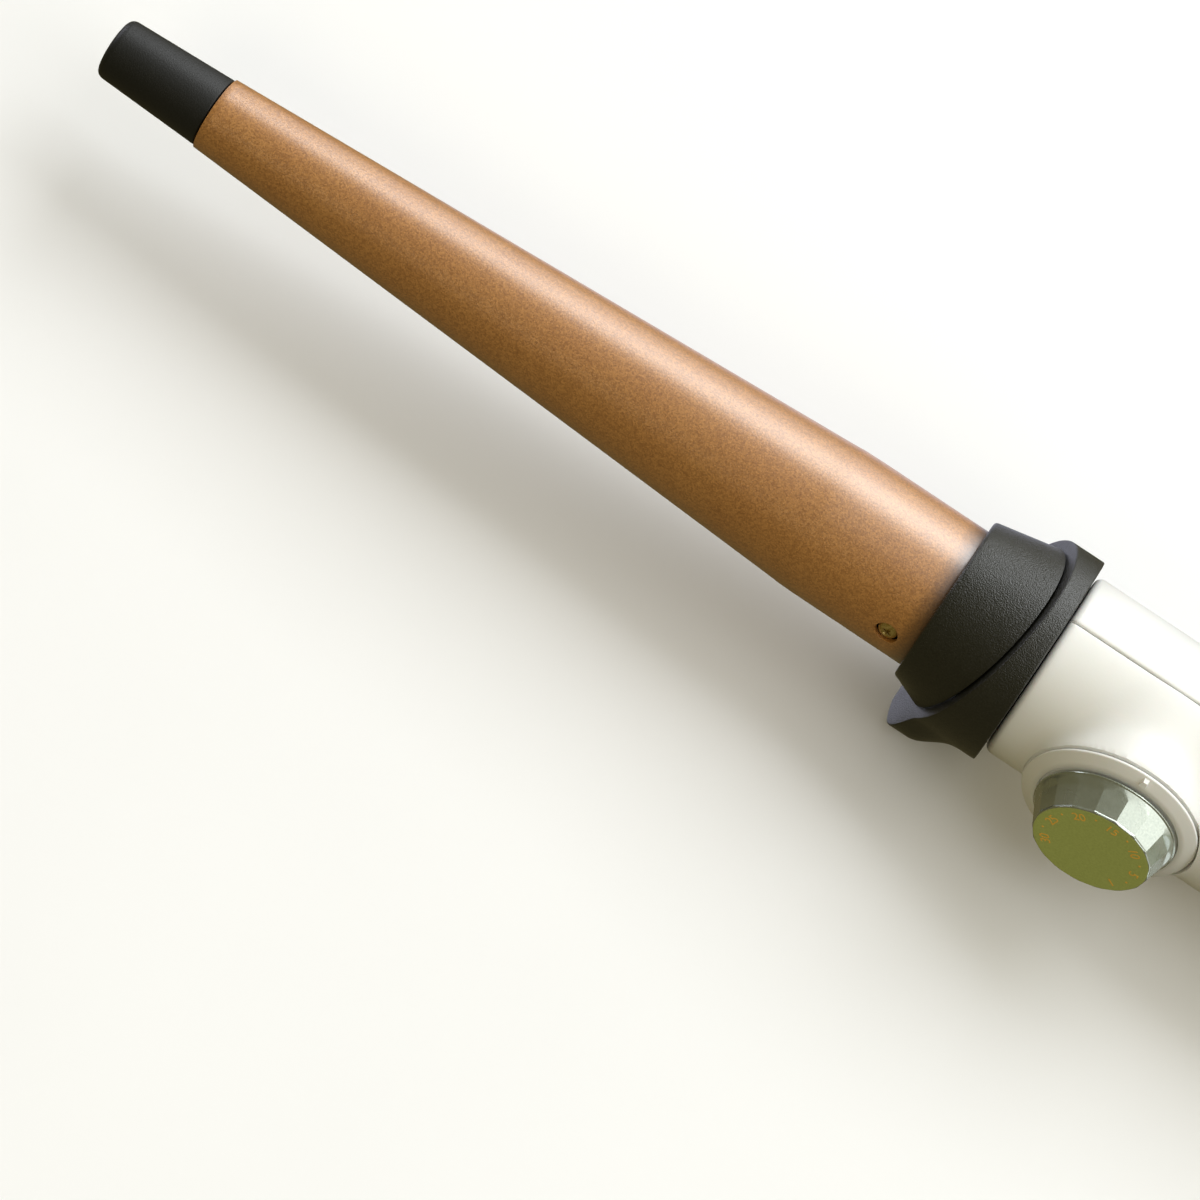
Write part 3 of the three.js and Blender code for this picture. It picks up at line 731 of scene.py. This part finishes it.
def half_shell(name, side, stations, drum):
    """One half of the handle; side -1 carries the dial."""
    seam = np.array([0.16, 0.18, 0.3, 0.5, 0.8]) / HANDLE_RADIUS
    sink = np.array([0.45, 0.2, 0.06, 0.0, 0.0])
    inner = np.linspace(0.075, math.pi - 0.075, 124)
    turn = np.concatenate([seam, inner, math.pi - seam[::-1]])
    sink = np.concatenate([sink, np.zeros(124), sink[::-1]])
    x, angle = np.meshgrid(stations, turn, indexing="ij")
    low, high = np.full(x.shape, 9.0), np.full(x.shape, 27.0)
    for _ in range(26):
        middle = (low + high) / 2
        outside = handle_distance(middle, angle, x, side, drum) > 0
        high = np.where(outside, middle, high)
        low = np.where(outside, low, middle)
    rim = (low + high) / 2 - sink
    round_off = np.clip(FRONT_ROUND - (x - FRONT_X), 0, FRONT_ROUND)
    rim = rim - (FRONT_ROUND - np.sqrt(np.maximum(FRONT_ROUND ** 2 - round_off ** 2, 0)))
    inner_rim = np.where(x < SOCKET_END, SOCKET_RADIUS, handle_rim(angle, x) - WALL)
    rings = []
    for i, station in enumerate(stations):
        radius = np.concatenate([rim[i], inner_rim[i][::-1]])
        around = np.concatenate([turn, turn[::-1]])
        rings.append(np.stack([np.full(around.shape, station), side * radius * np.sin(around),
                               -radius * np.cos(around)], 1))
    points, faces = band(rings)
    count = len(turn)
    for row in (0, (len(stations) - 1) * 2 * count):
        faces += [(row + i, row + i + 1, row + 2 * count - 2 - i, row + 2 * count - 1 - i)
                  for i in range(count - 1)]
    return finished(name, points, faces, sharp=40)


FRONT = [19.6, 19.64, 19.75, 19.95, 20.2, 20.5, 20.9, 21.74, 21.76]
HEEL = [*np.arange(58.5, 92, 3.0), *np.arange(92, 131, 1.5), *np.linspace(132, 166, 14)]
dial_side = half_shell("handle_shell_dial_side", -1,
                       np.array([*FRONT, *np.arange(22.1, 58, 0.3), *HEEL]), True)
plain_side = half_shell("handle_shell_plain_side", 1,
                        np.array([*FRONT, *np.arange(22.5, 58, 3.0), *HEEL]), False)
print("handle shells:", [len(s.data.polygons) for s in (dial_side, plain_side)])

# %% [markdown]
# ## Openings in the shells
# The dial side needs round openings for the dial's shaft, the power button and the lamp. The
# plain side has three counterbored screw posts, and both share the recess of the heel pad.

# %% Cut the openings
def long_pad(name, grow, low, high):
    """A long pad with round ends, under the heel, as a closed solid."""
    radius = 5 + grow
    ends = [(146 + 7 * side + radius * math.cos(a), radius * math.sin(a))
            for side, start in ((1, -math.pi / 2), (-1, math.pi / 2))
            for a in np.linspace(start, start + math.pi, 20)]
    count = len(ends)
    points = [(x, y, z) for z in (low, high) for x, y in ends]
    faces = [tuple(range(count)), tuple(range(count, 2 * count))]
    return finished(name, points, faces + quads(2, count))


BUTTON = CONTROL @ Matrix.Translation((74, 0, 0))
LENS = CONTROL @ Matrix.Translation((88, 0, 0))
for place, radius in ((BUTTON, 4.7), (LENS, 1.9)):
    carve(dial_side, rod(radius, 8, 30, place, 48))
carve(dial_side, rod(15.3, 16.0, 34, DIAL, 160))
carve(dial_side, rod(2.8, 8, 30, DIAL, 32))
carve(dial_side, rod(12.3, 2, 14.4, DIAL, 64))
SIDEWAYS = WAND @ Matrix.Rotation(-math.pi / 2, 4, "X")
HANDLE_SCREWS = (30, 108, 126)
for x in HANDLE_SCREWS:
    at = SIDEWAYS @ Matrix.Translation((x, 0, 0))
    carve(plain_side, rod(3.7, 7.2, 15.6, at, 40), "UNION")
    carve(plain_side, rod(2.9, 8.1, 30, at, 40))
    carve(plain_side, rod(1.4, 3, 30, at, 24))
for shell in (dial_side, plain_side):
    carve(shell, long_pad("recess", 0.3, -30, -19.6))
dressed(dial_side, white, "wand", "white_plastic", "handle_dial_side")
dressed(plain_side, white, "wand", "white_plastic", "handle_plain_side")

# %% [markdown]
# ## The rear cap
# The cap closes the handle with the same deepened outline, a softly domed edge and a hole for
# the cord's gland. It is turned round and its lower half is then stretched like the handle.

# %% Rear cap
corners = [(6.1, 166.3), (HANDLE_RADIUS, 166.3, 0.25), (16.45, 167.4), (15.9, 168.8, 1.0),
           (13.9, 170.8, 2.0), (9.5, 172.4, 1.2), (7.4, 172.5), (6.1, 172.2, 0.4)]
outline = soften(corners, 6)
points, faces = turned(outline + outline[:1], 160)
points = [(h, y, -x) for x, y, h in points]
points = [(x, y, z * HEEL_DEPTH / HANDLE_RADIUS if z < 0 else z) for x, y, z in points]
cap = finished("rear_cap_dome", points, faces)
dressed(cap, white, "wand", "white_plastic", "rear_cap")

# %% [markdown]
# ## The heel pad
# A soft strip under the heel stops the wand from sliding. It has round ends and soft edges.

# %% Heel pad
pad = bevelled(long_pad("heel_pad_strip", -0.05, -21.4, -19.95), 0.4, 3, 60)
dressed(pad, rubber, "wand", "soft_black", "heel_pad")

# %% [markdown]
# ## The dial's bezel
# A flat white disc closes the drum under the dial. Its border slopes, and a small raised
# pointer on it shows which number is set. The pointer stands a little off the top.

# %% Bezel with its pointer
corners = [(3.2, 16.6), (15, 16.6, 0.15), (15, 17.02, 0.2), (13, 18.0, 0.5), (12.2, 18.0),
           (12.0, 17.8), (3.2, 17.8)]
outline = soften(corners)
bezel = finished("dial_bezel_disc", *turned(outline + outline[:1], 128), DIAL)
wedge = [(-0.75, 13.3, 16.9), (0.75, 13.3, 16.9), (0.5, 14.7, 16.9), (-0.5, 14.7, 16.9),
         (-0.6, 13.4, 18.3), (0.6, 13.4, 18.3), (0.35, 14.5, 18.0), (-0.35, 14.5, 18.0)]
sides = [(0, 3, 2, 1), (4, 5, 6, 7)] + quads(2, 4)
pointer = finished("pointer", wedge, sides, DIAL @ Matrix.Rotation(math.radians(-6), 4, "Z"))
carve(bezel, pointer, "UNION")
dressed(bezel, white, "wand", "white_plastic", "dial_bezel")

# %% [markdown]
# ## The dial knob
# The knob is a short cone with a crisp rim line at its base and a flat face. Seventeen flats
# are cut into the cone. They start just above the rim and soon meet each other. At every
# height the edge is the nearer of the round cone and the flats, which curves the flats' tops.

# %% Dial knob
FLATS = 17
FLAT_TURN = math.radians(-49.4)
fine_turns = np.linspace(0, 2 * math.pi, FLATS * 26, endpoint=False) + FLAT_TURN


def knob_ring(cone_radius, flat_depth, height):
    """A ring of the cone with flats cut flat_depth deep at their middle."""
    pitch = 2 * math.pi / FLATS
    off = (fine_turns - FLAT_TURN + pitch / 2) % pitch - pitch / 2
    radius = np.minimum(cone_radius, (cone_radius - flat_depth) / np.cos(off))
    return np.stack([radius * np.sin(fine_turns), radius * np.cos(fine_turns),
                     np.full(fine_turns.shape, height)], 1)


foot = [(0.001, 20.6), (8.8, 20.6), (9.2, 20.2), (10.4, 18.8), (11.5, 18.62), (11.95, 18.62),
        (12.08, 18.7), (12.1, 18.82), (12.08, 18.94), (11.97, 19.02), (11.86, 19.1)]
(FOOT_RADIUS, FOOT_TOP), TOP_RADIUS, TOP, FACE = foot[-1], 10.16, 23.95, 24.4
rows = [knob_ring(r, 0, h) for r, h in foot]
for share in np.linspace(0.04, 1, 20):
    cone = FOOT_RADIUS + share * (TOP_RADIUS - FOOT_RADIUS)
    deep = cone * (1 - math.cos(math.pi / FLATS)) + 0.03
    rows.append(knob_ring(cone, deep * min(1.0, max(0.0, share - 0.06) / 0.22),
                          FOOT_TOP + share * (TOP - FOOT_TOP)))
for bend in (18, 36, 54, 72, 90):
    a = math.radians(bend)
    rows.append(knob_ring(TOP_RADIUS - 0.5 * (1 - math.cos(a)), 0.2 * math.cos(a) ** 2,
                          TOP + 0.45 * math.sin(a)))
rows += [knob_ring(radius, 0, FACE) for radius in (9.3, 5, 0.001)]
knob = finished("dial_knob_faceted", *band(rows), DIAL, sharp=9)
dressed(knob, olive, "dial", "olive_plastic", "dial_knob")
knob.data.materials.append(olive_face)
outward = (DIAL.to_3x3() @ Vector((0, 0, 1))).normalized()
front = (DIAL @ Vector((0, 0, FACE - 0.02))).dot(outward)
for face in knob.data.polygons:
    if face.normal.dot(outward) > 0.97 and face.center.dot(outward) > front:
        face.material_index = 1

# %% [markdown]
# ## Numbers and dots on the dial
# Plain digits from 1 to 30 are printed round the face every 42 degrees, with their tops
# outwards, and a dot marks the middle between two numbers. The digits are text made into a
# mesh; the dots repeat by a rule, so Geometry Nodes place them.

# %% Printed numbers
RING = 7.76
FIRST_TURN = 6.68
STEP = 42.0
INK_HEIGHT = FACE + 0.015
digits = bmesh.new()
for label, step in (("30", -3), ("25", -2), ("20", -1), ("15", 0), ("10", 1), ("5", 2), ("1", 3)):
    words = bpy.data.curves.new("number", "FONT")
    words.body = label
    words.size = 2.45
    words.align_x = "CENTER"
    words.align_y = "CENTER"
    words.offset = 0.004
    words.extrude = 0.012
    words.space_character = 0.95
    text = shown("number", words)
    whole = text.evaluated_get(bpy.context.evaluated_depsgraph_get())
    flat = bpy.data.meshes.new_from_object(whole)
    turn = Matrix.Rotation(-math.radians(FIRST_TURN + STEP * step), 4, "Z")
    flat.transform(turn @ Matrix.Translation((0, RING, INK_HEIGHT)))
    digits.from_mesh(flat)
    bpy.data.objects.remove(text)
digits.transform(DIAL)
mesh = bpy.data.meshes.new("dial_numbers")
digits.to_mesh(mesh)
digits.free()
dressed(shown("dial_numbers", mesh), ink, "dial", "olive_plastic")

# %% Dots by rule
DOTS = {"Count": 6, "First Angle": FIRST_TURN - 2.5 * STEP, "Step": STEP,
        "Ring Radius": RING + 0.55, "Dot Radius": 0.2, "Height": INK_HEIGHT}
tree, given = rule_tree("ring_of_dots", DOTS, "Material")
index = add(tree, "GeometryNodeInputIndex").outputs[0]
angle = calc(tree, "MULTIPLY_ADD", index, given["Step"], given["First Angle"])
angle = calc(tree, "RADIANS", angle)
spot = add(tree, "ShaderNodeCombineXYZ", {
    0: calc(tree, "MULTIPLY", given["Ring Radius"], calc(tree, "SINE", angle)),
    1: calc(tree, "MULTIPLY", given["Ring Radius"], calc(tree, "COSINE", angle)),
    2: given["Height"]}).outputs[0]
marks = add(tree, "GeometryNodePoints", {"Count": given["Count"], "Position": spot}).outputs[0]
dot = add(tree, "GeometryNodeMeshCylinder", {"Vertices": 16, "Radius": given["Dot Radius"],
                                             "Depth": 0.03}).outputs["Mesh"]
copies = add(tree, "GeometryNodeInstanceOnPoints", {"Points": marks, "Instance": dot})
end_rule(tree, given, copies.outputs[0])
dots = settle(run_rule(tree, "dial_dots", DOTS | {"Material": ink}))
dots.data.transform(DIAL)
dressed(dots, ink, "dial", "olive_plastic")

# %% [markdown]
# ## Screws
# Every screw is the same shape at two sizes: a low pan head with a tapered cross recess. One
# screw is modelled and Geometry Nodes set copies of it on marked points, each turned by a
# seeded random angle, since no two screws stop at the same turn.

# %% One screw
def screw(radius, height, shank, reach):
    """A pan-head screw; the top of its head is at 0 and its shank points down Z."""
    corners = [(0, 0.0), (radius * 0.55, -0.02, 0.2), (radius, -height * 0.45, 0.25),
               (radius, -height, 0.1), (shank, -height), (shank, -reach), (0, -reach - shank * 0.6)]
    whole = finished("screw_model", *turned(soften(corners), 40), Matrix.Identity(4))
    long, wide, deep = radius * 0.72, radius * 0.19, height * 0.85
    top = [(-long, -wide, 1), (long, -wide, 1), (long, wide, 1), (-long, wide, 1)]
    low = [(x * 0.45, y * 0.7, -deep) for x, y, _ in top]
    for turn in (0, math.pi / 2):
        carve(whole, finished("recess", top + low, sides, Matrix.Rotation(turn, 4, "Z")))
    return whole


# %% The rule that sets screws
tree, given = rule_tree("set_screws", {"Seed": 7}, "Object", "Material")
outward = add(tree, "GeometryNodeInputNamedAttribute", {"Name": "outwards"},
              data_type="FLOAT_VECTOR").outputs[0]
aimed = add(tree, "FunctionNodeAlignRotationToVector", {"Vector": outward}, axis="Z").outputs[0]
chance = add(tree, "FunctionNodeRandomValue", {2: 0.0, 3: math.pi, "Seed": given["Seed"]},
             data_type="FLOAT").outputs[1]
spin = add(tree, "FunctionNodeAxisAngleToRotation", {"Axis": (0, 0, 1), "Angle": chance}).outputs[0]
whole_turn = add(tree, "FunctionNodeRotateRotation", {"Rotation": aimed, "Rotate By": spin},
                 rotation_space="LOCAL").outputs[0]
model = add(tree, "GeometryNodeObjectInfo", {"Object": given["Object"]}).outputs["Geometry"]
copies = add(tree, "GeometryNodeInstanceOnPoints", {
    "Points": given["Geometry"], "Instance": model, "Rotation": whole_turn})
end_rule(tree, given, copies.outputs[0])


def set_screws(name, model, spots, slot_name, seed, *nodes):
    """spots are (place, outward direction) in wand millimetres."""
    material = BENCH[slot_name]
    settings = {"Object": model, "Material": material, "Seed": seed}
    piece = run_rule(tree, name, settings, [place for place, _ in spots])
    mark = piece.data.attributes.new("outwards", "FLOAT_VECTOR", "POINT")
    mark.data.foreach_set("vector", [value for _, out in spots for value in out])
    settle(piece)
    piece.data.transform(WAND)
    bpy.data.objects.remove(model)
    dressed(piece, material, "wand", slot_name, *nodes)


spots = []
for turn in (SCREW_TURN, SCREW_TURN + math.pi):
    out = Vector((0, -math.sin(turn), math.cos(turn)))
    spots.append((Vector((SCREW_X, 0, 0)) + out * 12.5, out))
set_screws("barrel_screws", screw(1.7, 0.9, 0.9, 4.2), spots, "screw_brass", 3,
           "barrel_screw_1", "barrel_screw_2")
spots = [(Vector((x, 10.1, 0)), Vector((0, 1, 0))) for x in HANDLE_SCREWS]
set_screws("handle_screws", screw(2.5, 1.7, 1.1, 17), spots, "screw_steel", 5,
           "handle_screw_1", "handle_screw_2", "handle_screw_3")

# %% [markdown]
# ## Power button and lamp
# The button is a small olive disc with a hollowed top and a raised on/off mark, an open ring
# with a bar, which is a general sign. The lamp is a red domed lens.

# %% Button and lens
corners = [(0, 12.0), (5.4, 12.0, 0.1), (5.4, 12.8, 0.1), (4.4, 12.8), (4.4, 17.25, 0.45),
           (3.4, 17.2, 0.3), (0, 16.9)]
button = finished("power_button_disc", *turned(soften(corners, 6), 72), BUTTON)
MARK_RADIUS, STROKE = 1.55, 0.17
arc = np.linspace(math.radians(38), math.radians(322), 40)
count = len(arc)
inside, outside = MARK_RADIUS - STROKE, MARK_RADIUS + STROKE
rows = [(inside, 16.8), (inside, 17.08), (outside, 17.1), (outside, 16.8)]
points = [(radius * math.sin(a), radius * math.cos(a), z) for radius, z in rows for a in arc]
faces = [(j * count + i, j * count + i + 1, k * count + i + 1, k * count + i)
         for j, k in ((0, 1), (1, 2), (2, 3), (3, 0)) for i in range(count - 1)]
faces += [tuple(j * count for j in range(4)), tuple(j * count - 1 for j in (1, 4, 3, 2))]
carve(button, finished("mark", points, faces, BUTTON), "UNION")
bar = [(x, y, z) for z in (16.7, 17.08)
       for x, y in ((-STROKE, 0.35), (STROKE, 0.35), (STROKE, 2.0), (-STROKE, 2.0))]
carve(button, finished("bar", bar, sides, BUTTON), "UNION")
dressed(button, olive_face, "power_key", "olive_plastic", "power_button")

dome = [(0, 12.0), (1.6, 12.0), (1.6, 16.3)]
dome += [(1.6 * math.cos(a), 16.3 + 0.6 * math.sin(a)) for a in np.linspace(0.2, math.pi / 2, 8)]
lens = finished("indicator_lens_dome", *turned(dome, 40), LENS)
dressed(lens, BENCH["lamp"], "wand", "lamp", "indicator_lens")

# %% [markdown]
# ## The cord's swivel gland
# A rubber gland turns in the rear cap and would hold the cord. It has a flange inside, a
# tapered neck and a row of ribs that let it bend. The ribs repeat along a line, so Geometry
# Nodes lay them. The cord itself is left out, and the bore stays open.

# %% Gland body and ribs
corners = [(3.5, 158.1), (8.0, 158.1, 0.3), (8.0, 160.5, 0.3), (5.6, 160.5, 0.2), (5.6, 172.9, 0.4),
           (4.75, 173.2, 0.3), (4.3, 185.0, 0.4), (4.3, 185.9, 0.4), (3.5, 185.9, 0.2)]
outline = soften(corners)
gland = finished("swivel_gland_body", *turned(outline + outline[:1], 96), ALONG)
dressed(gland, rubber, "cord_swivel", "soft_black", "swivel_gland")

RIBS = {"Count": 6, "First X": 174.9, "Pitch": 1.9, "First Radius": 4.85, "Shrink": 0.018,
        "Thickness": 0.55}
tree, given = rule_tree("ribs_in_line", RIBS, "Material")
index = add(tree, "GeometryNodeInputIndex").outputs[0]
spot = add(tree, "ShaderNodeCombineXYZ", {
    0: calc(tree, "MULTIPLY_ADD", index, given["Pitch"], given["First X"])}).outputs[0]
line = add(tree, "GeometryNodePoints", {"Count": given["Count"], "Position": spot}).outputs[0]
circle = "GeometryNodeCurvePrimitiveCircle"
hoop = add(tree, circle, {"Resolution": 72, "Radius": given["First Radius"]}).outputs[0]
cross = add(tree, circle, {"Resolution": 12, "Radius": given["Thickness"]}).outputs[0]
swept = add(tree, "GeometryNodeCurveToMesh", {"Curve": hoop, "Profile Curve": cross}).outputs[0]
upright = add(tree, "GeometryNodeTransform", {"Geometry": swept, "Rotation": (0, math.pi / 2, 0)})
size = calc(tree, "SUBTRACT", 1.0, calc(tree, "MULTIPLY", index, given["Shrink"]))
copies = add(tree, "GeometryNodeInstanceOnPoints", {
    "Points": line, "Instance": upright.outputs[0], "Scale": size})
end_rule(tree, given, copies.outputs[0])
ribs = settle(run_rule(tree, "swivel_gland_ribs", RIBS | {"Material": rubber}))
ribs.data.transform(WAND)
dressed(ribs, rubber, "cord_swivel", "soft_black")

# %% [markdown]
# ## The floor
# A pale matt floor at height zero, on which the guard's foot and the heel pad stand.

# %% Floor
def square(name, half, material, place, *unseen_by):
    """A flat square of the studio, kept out of these kinds of rays."""
    mesh = bpy.data.meshes.new(name)
    mesh.from_pydata([(-half, -half, 0), (half, -half, 0), (half, half, 0), (-half, half, 0)], [],
                     [(0, 1, 2, 3)])
    mesh.transform(place)
    mesh.materials.append(material)
    card = shown(name, mesh)
    for kind in unseen_by:
        setattr(card, "visible_" + kind, False)


paper, tree, shader, place = surface("pale_paper_sweep", Roughness=0.85)
fibre = blend_colours(tree, noise(tree, place, 60, 3.0), "ededed", "f1f1f1")
tree.links.new(fibre, shader.inputs["Base Color"])
square("studio_floor", 9, paper, Matrix.Identity(4), "glossy", "diffuse")
print("floor at z =", 0)

# %% [markdown]
# ## Bounce cards
# A black moulding shows a pale sheen where it is seen at a grazing angle over a white table.
# The floor is kept out of the reflections, so two small glowing cards stand in for it, one
# for the guard's front face and one for the dial's flats. Only reflections see them.

# %% Cards
def bounce_card(name, place, target, size, colour, strength):
    material, _, shader, _ = surface(name, Roughness=1.0, Emission_Strength=strength)
    shader.inputs["Base Color"].default_value = (0, 0, 0, 1)
    shader.inputs["Emission Color"].default_value = colour + (1,)
    turn = (Vector(target) - Vector(place)).to_track_quat("Z", "Y").to_matrix().to_4x4()
    square(name, size / 2, material, Matrix.Translation(place) @ turn,
           "camera", "diffuse", "shadow", "transmission")


bounce_card("guard_bounce_card", (-0.055, 0.112, -0.1), (-0.004, 0, 0.01), 0.13,
            (0.80, 0.82, 1.0), 1.1)
bounce_card("dial_bounce_card", (0.36, 0.01, -0.11), (0.035, -0.02, 0.03), 0.36,
            (0.95, 1.0, 0.98), 1.1)
